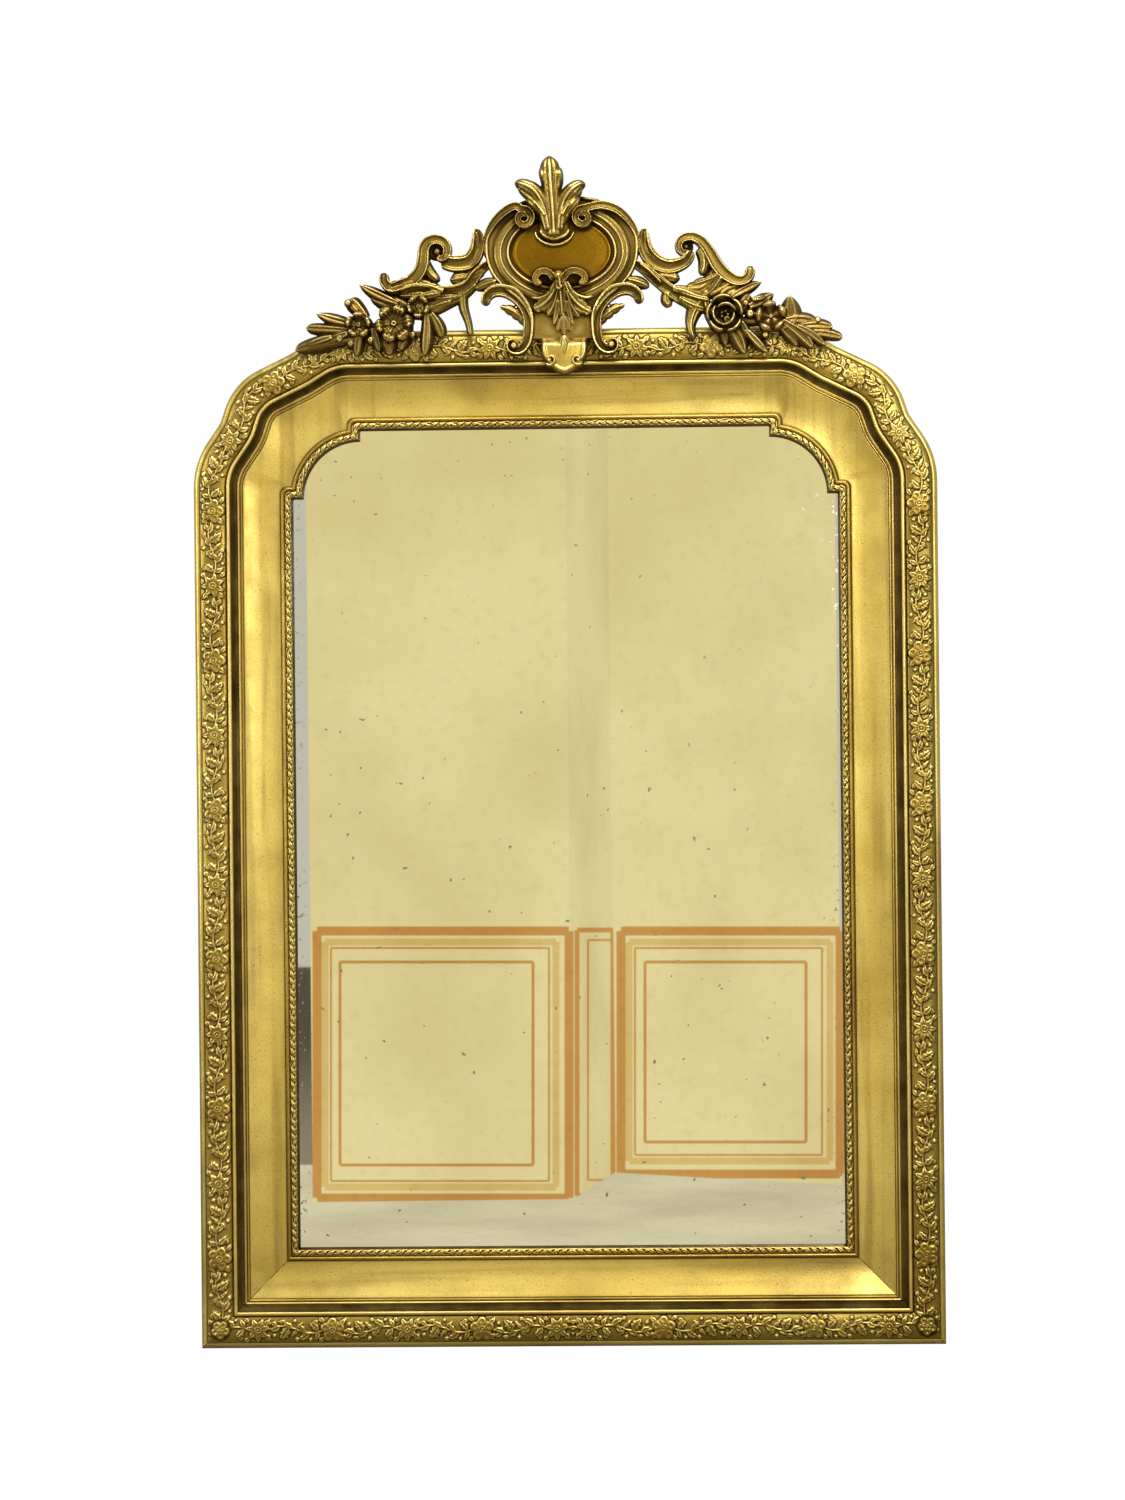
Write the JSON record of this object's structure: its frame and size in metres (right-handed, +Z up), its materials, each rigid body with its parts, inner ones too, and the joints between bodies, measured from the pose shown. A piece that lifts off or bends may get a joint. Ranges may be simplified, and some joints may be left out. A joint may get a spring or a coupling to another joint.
{
  "type": "wall mirror",
  "caption": "Tall wall mirror in a gilded wooden frame with shouldered top corners, floral moulding and a pierced carved crest.",
  "frame": {"origin": "middle of the bottom rail's back face, on the wall plane", "axes": "+X to the right as seen from the front, +Y towards the wall, +Z up; the glass faces -Y"},
  "size_m": [0.945, 0.1073, 1.5056],
  "materials": {
    "gilt_gesso": "burnished gilding over gesso, worn and toned",
    "gilt_ornament": "toned gilding on moulded composition",
    "bronzed_crest": "dark bronzed gilding on carving",
    "plaque": "olive bronzed gilding",
    "silvered_glass": "polished, lightly foxed at the edge",
    "pine": "raw aged softwood",
    "hardwood": "raw oak",
    "iron": "dull hand-forged iron"
  },
  "bodies": {
    "frame_body": {"bottom_rail": "gilt_gesso", "left_stile": "gilt_gesso", "right_stile": "gilt_gesso", "left_shoulder": "gilt_gesso", "right_shoulder": "gilt_gesso", "top_rail": "gilt_gesso", "floral_band_bottom": "gilt_ornament", "left_floral_band": "gilt_ornament", "right_floral_band": "gilt_ornament", "left_shoulder_floral_band": "gilt_ornament", "right_shoulder_floral_band": "gilt_ornament", "floral_band_top": "gilt_ornament", "sight_moulding_bottom": "gilt_gesso", "left_sight_moulding": "gilt_gesso", "right_sight_moulding": "gilt_gesso", "left_sight_corner": "gilt_gesso", "right_sight_corner": "gilt_gesso", "sight_moulding_top": "gilt_gesso", "left_mitre_key": "hardwood", "right_mitre_key": "hardwood", "left_stile_key": "hardwood", "right_stile_key": "hardwood", "left_top_key": "hardwood", "right_top_key": "hardwood", "mirror_plate": "silvered_glass", "left_glazing_strip": "pine", "right_glazing_strip": "pine", "bottom_glazing_strip": "pine", "top_glazing_strip": "pine", "backboard_1": "pine", "backboard_2": "pine", "backboard_3": "pine", "backboard_4": "pine", "backboard_5": "pine", "centre_crest_bracket": "pine", "left_crest_bracket": "pine", "right_crest_bracket": "pine", "cartouche": "bronzed_crest", "crest_clasp": "bronzed_crest", "crest_finial": "bronzed_crest", "left_scroll": "bronzed_crest", "right_scroll": "bronzed_crest", "left_spray": "bronzed_crest", "right_spray": "bronzed_crest", "cartouche_plaque": "plaque", "crest_lobe": "gilt_ornament", "left_hanging_plate": "iron", "right_hanging_plate": "iron"},
    "left_ring": {"left_hanging_ring": "iron"},
    "right_ring": {"right_hanging_ring": "iron"}
  },
  "joints": [
    {"name": "left_ring_swing", "type": "hinge", "parent": "frame_body", "child": "left_ring", "pos_m": [-0.4145, 0.0038, 0.872], "axis": [1, 0, 0], "range_deg": [0, 175]},
    {"name": "right_ring_swing", "type": "hinge", "parent": "frame_body", "child": "right_ring", "pos_m": [0.4145, 0.0038, 0.872], "axis": [1, 0, 0], "range_deg": [0, 175]}
  ]
}
